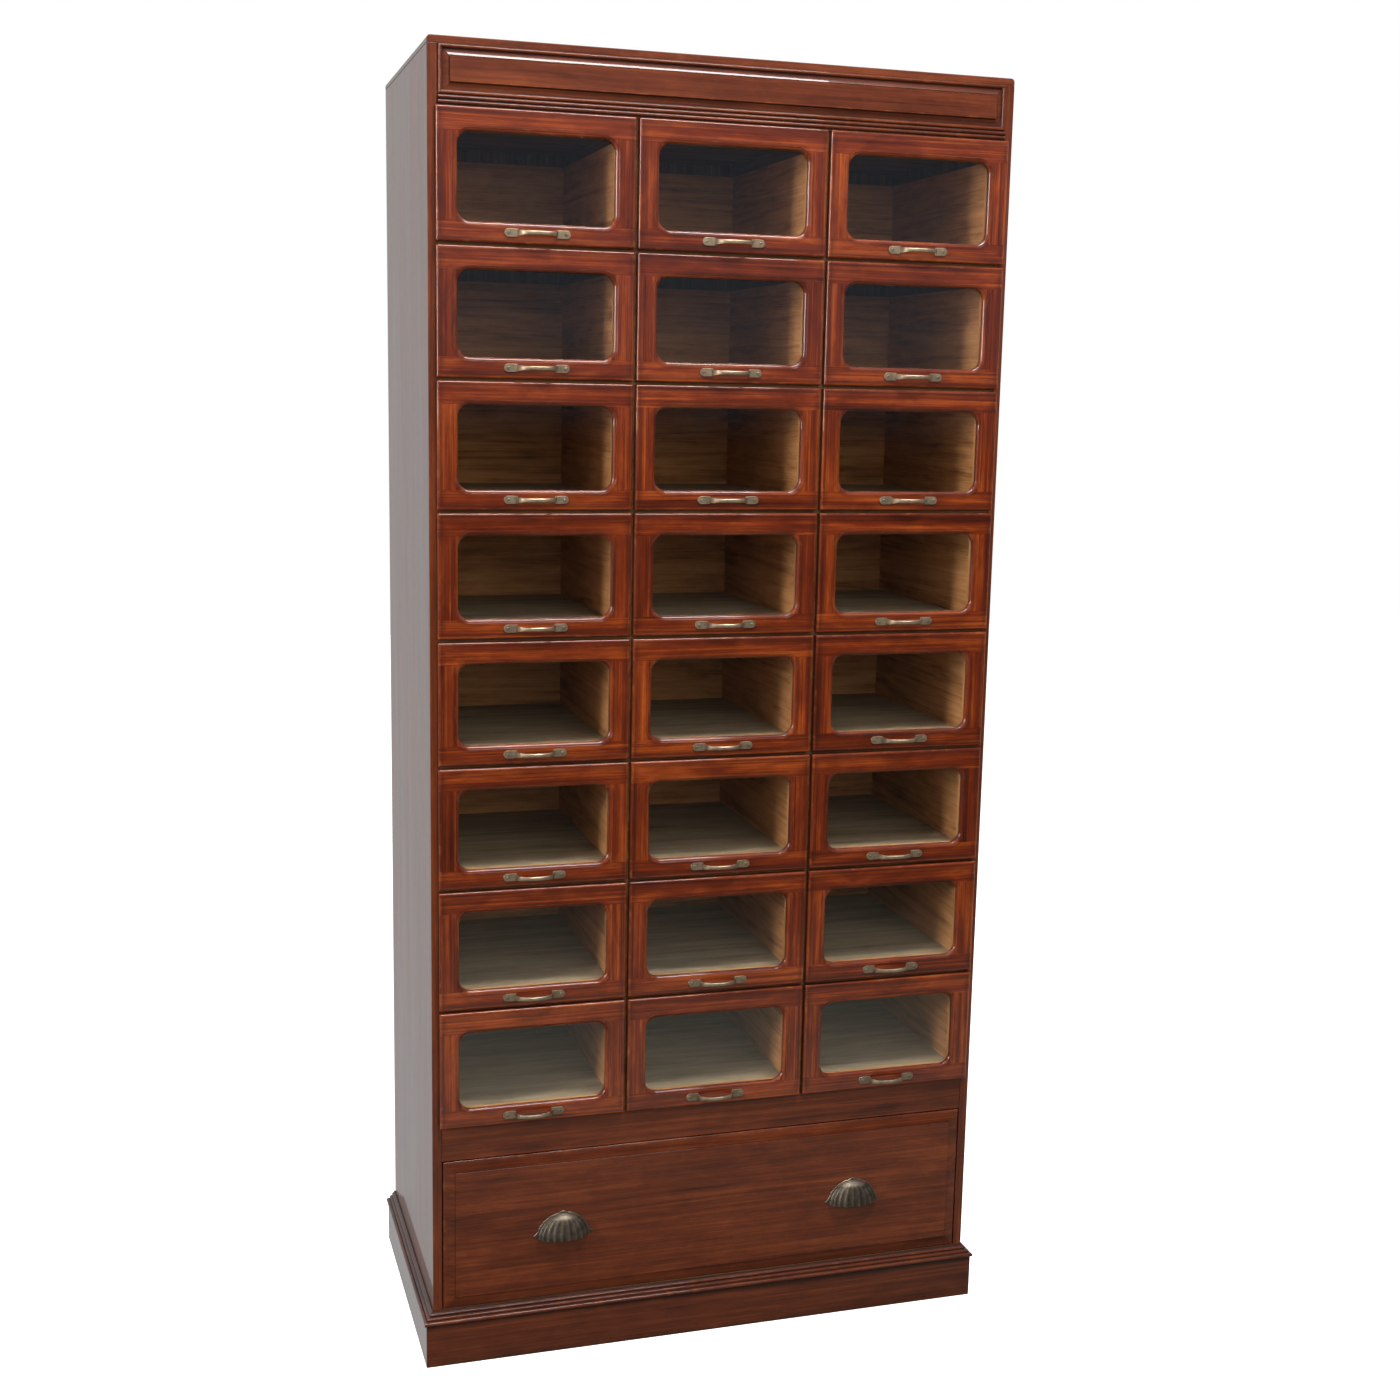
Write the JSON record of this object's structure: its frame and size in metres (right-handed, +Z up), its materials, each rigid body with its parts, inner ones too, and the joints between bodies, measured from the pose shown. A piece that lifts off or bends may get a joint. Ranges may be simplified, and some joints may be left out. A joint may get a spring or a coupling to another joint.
{
  "type": "glass-fronted shop cabinet",
  "caption": "Tall glossy mahogany shop cabinet with glass-fronted small drawers, one wide drawer with cup pulls below, a raised frieze panel and a moulded plinth.",
  "frame": {"origin": "middle of the whole box's footprint on the floor", "axes": "+Z up, front facing -Y, +X to the right seen from the front"},
  "size_m": [1.0142, 0.52, 2.17],
  "materials": {
    "mahogany": "gloss",
    "dark_mahogany": "gloss",
    "pine": "matte",
    "glass": "gloss",
    "brass": "satin"
  },
  "bodies": {
    "carcass": {"left_side": "mahogany", "right_side": "mahogany", "top_board": "mahogany", "cross_boards": "pine", "back_boards": "pine", "frieze": "mahogany", "partitions": "pine", "drawer_runners": "pine", "lower_rail": "mahogany", "plinth": "dark_mahogany"},
    "small_drawer_1_left": {"drawer_1_left": "mahogany", "pane_1_left": "glass"},
    "small_drawer_1_middle": {"drawer_1_middle": "mahogany", "pane_1_middle": "glass"},
    "small_drawer_1_right": {"drawer_1_right": "mahogany", "pane_1_right": "glass"},
    "small_drawer_2_left": {"drawer_2_left": "mahogany", "pane_2_left": "glass"},
    "small_drawer_2_middle": {"drawer_2_middle": "mahogany", "pane_2_middle": "glass"},
    "small_drawer_2_right": {"drawer_2_right": "mahogany", "pane_2_right": "glass"},
    "small_drawer_3_left": {"drawer_3_left": "mahogany", "pane_3_left": "glass"},
    "small_drawer_3_middle": {"drawer_3_middle": "mahogany", "pane_3_middle": "glass"},
    "small_drawer_3_right": {"drawer_3_right": "mahogany", "pane_3_right": "glass"},
    "small_drawer_4_left": {"drawer_4_left": "mahogany", "pane_4_left": "glass"},
    "small_drawer_4_middle": {"drawer_4_middle": "mahogany", "pane_4_middle": "glass"},
    "small_drawer_4_right": {"drawer_4_right": "mahogany", "pane_4_right": "glass"},
    "small_drawer_5_left": {"drawer_5_left": "mahogany", "pane_5_left": "glass"},
    "small_drawer_5_middle": {"drawer_5_middle": "mahogany", "pane_5_middle": "glass"},
    "small_drawer_5_right": {"drawer_5_right": "mahogany", "pane_5_right": "glass"},
    "small_drawer_6_left": {"drawer_6_left": "mahogany", "pane_6_left": "glass"},
    "small_drawer_6_middle": {"drawer_6_middle": "mahogany", "pane_6_middle": "glass"},
    "small_drawer_6_right": {"drawer_6_right": "mahogany", "pane_6_right": "glass"},
    "small_drawer_7_left": {"drawer_7_left": "mahogany", "pane_7_left": "glass"},
    "small_drawer_7_middle": {"drawer_7_middle": "mahogany", "pane_7_middle": "glass"},
    "small_drawer_7_right": {"drawer_7_right": "mahogany", "pane_7_right": "glass"},
    "small_drawer_8_left": {"drawer_8_left": "mahogany", "pane_8_left": "glass"},
    "small_drawer_8_middle": {"drawer_8_middle": "mahogany", "pane_8_middle": "glass"},
    "small_drawer_8_right": {"drawer_8_right": "mahogany", "pane_8_right": "glass"},
    "wide_drawer": {"bottom_drawer": "mahogany", "cup_pulls": "brass"}
  },
  "joints": [
    {"name": "slide_1_left", "type": "slide", "parent": "carcass", "child": "small_drawer_1_left", "axis": [0, -1, 0], "range_m": [0, 0.34]},
    {"name": "slide_1_middle", "type": "slide", "parent": "carcass", "child": "small_drawer_1_middle", "axis": [0, -1, 0], "range_m": [0, 0.34]},
    {"name": "slide_1_right", "type": "slide", "parent": "carcass", "child": "small_drawer_1_right", "axis": [0, -1, 0], "range_m": [0, 0.34]},
    {"name": "slide_2_left", "type": "slide", "parent": "carcass", "child": "small_drawer_2_left", "axis": [0, -1, 0], "range_m": [0, 0.34]},
    {"name": "slide_2_middle", "type": "slide", "parent": "carcass", "child": "small_drawer_2_middle", "axis": [0, -1, 0], "range_m": [0, 0.34]},
    {"name": "slide_2_right", "type": "slide", "parent": "carcass", "child": "small_drawer_2_right", "axis": [0, -1, 0], "range_m": [0, 0.34]},
    {"name": "slide_3_left", "type": "slide", "parent": "carcass", "child": "small_drawer_3_left", "axis": [0, -1, 0], "range_m": [0, 0.34]},
    {"name": "slide_3_middle", "type": "slide", "parent": "carcass", "child": "small_drawer_3_middle", "axis": [0, -1, 0], "range_m": [0, 0.34]},
    {"name": "slide_3_right", "type": "slide", "parent": "carcass", "child": "small_drawer_3_right", "axis": [0, -1, 0], "range_m": [0, 0.34]},
    {"name": "slide_4_left", "type": "slide", "parent": "carcass", "child": "small_drawer_4_left", "axis": [0, -1, 0], "range_m": [0, 0.34]},
    {"name": "slide_4_middle", "type": "slide", "parent": "carcass", "child": "small_drawer_4_middle", "axis": [0, -1, 0], "range_m": [0, 0.34]},
    {"name": "slide_4_right", "type": "slide", "parent": "carcass", "child": "small_drawer_4_right", "axis": [0, -1, 0], "range_m": [0, 0.34]},
    {"name": "slide_5_left", "type": "slide", "parent": "carcass", "child": "small_drawer_5_left", "axis": [0, -1, 0], "range_m": [0, 0.34]},
    {"name": "slide_5_middle", "type": "slide", "parent": "carcass", "child": "small_drawer_5_middle", "axis": [0, -1, 0], "range_m": [0, 0.34]},
    {"name": "slide_5_right", "type": "slide", "parent": "carcass", "child": "small_drawer_5_right", "axis": [0, -1, 0], "range_m": [0, 0.34]},
    {"name": "slide_6_left", "type": "slide", "parent": "carcass", "child": "small_drawer_6_left", "axis": [0, -1, 0], "range_m": [0, 0.34]},
    {"name": "slide_6_middle", "type": "slide", "parent": "carcass", "child": "small_drawer_6_middle", "axis": [0, -1, 0], "range_m": [0, 0.34]},
    {"name": "slide_6_right", "type": "slide", "parent": "carcass", "child": "small_drawer_6_right", "axis": [0, -1, 0], "range_m": [0, 0.34]},
    {"name": "slide_7_left", "type": "slide", "parent": "carcass", "child": "small_drawer_7_left", "axis": [0, -1, 0], "range_m": [0, 0.34]},
    {"name": "slide_7_middle", "type": "slide", "parent": "carcass", "child": "small_drawer_7_middle", "axis": [0, -1, 0], "range_m": [0, 0.34]},
    {"name": "slide_7_right", "type": "slide", "parent": "carcass", "child": "small_drawer_7_right", "axis": [0, -1, 0], "range_m": [0, 0.34]},
    {"name": "slide_8_left", "type": "slide", "parent": "carcass", "child": "small_drawer_8_left", "axis": [0, -1, 0], "range_m": [0, 0.34]},
    {"name": "slide_8_middle", "type": "slide", "parent": "carcass", "child": "small_drawer_8_middle", "axis": [0, -1, 0], "range_m": [0, 0.34]},
    {"name": "slide_8_right", "type": "slide", "parent": "carcass", "child": "small_drawer_8_right", "axis": [0, -1, 0], "range_m": [0, 0.34]},
    {"name": "slide_wide_drawer", "type": "slide", "parent": "carcass", "child": "wide_drawer", "axis": [0, -1, 0], "range_m": [0, 0.34]}
  ]
}
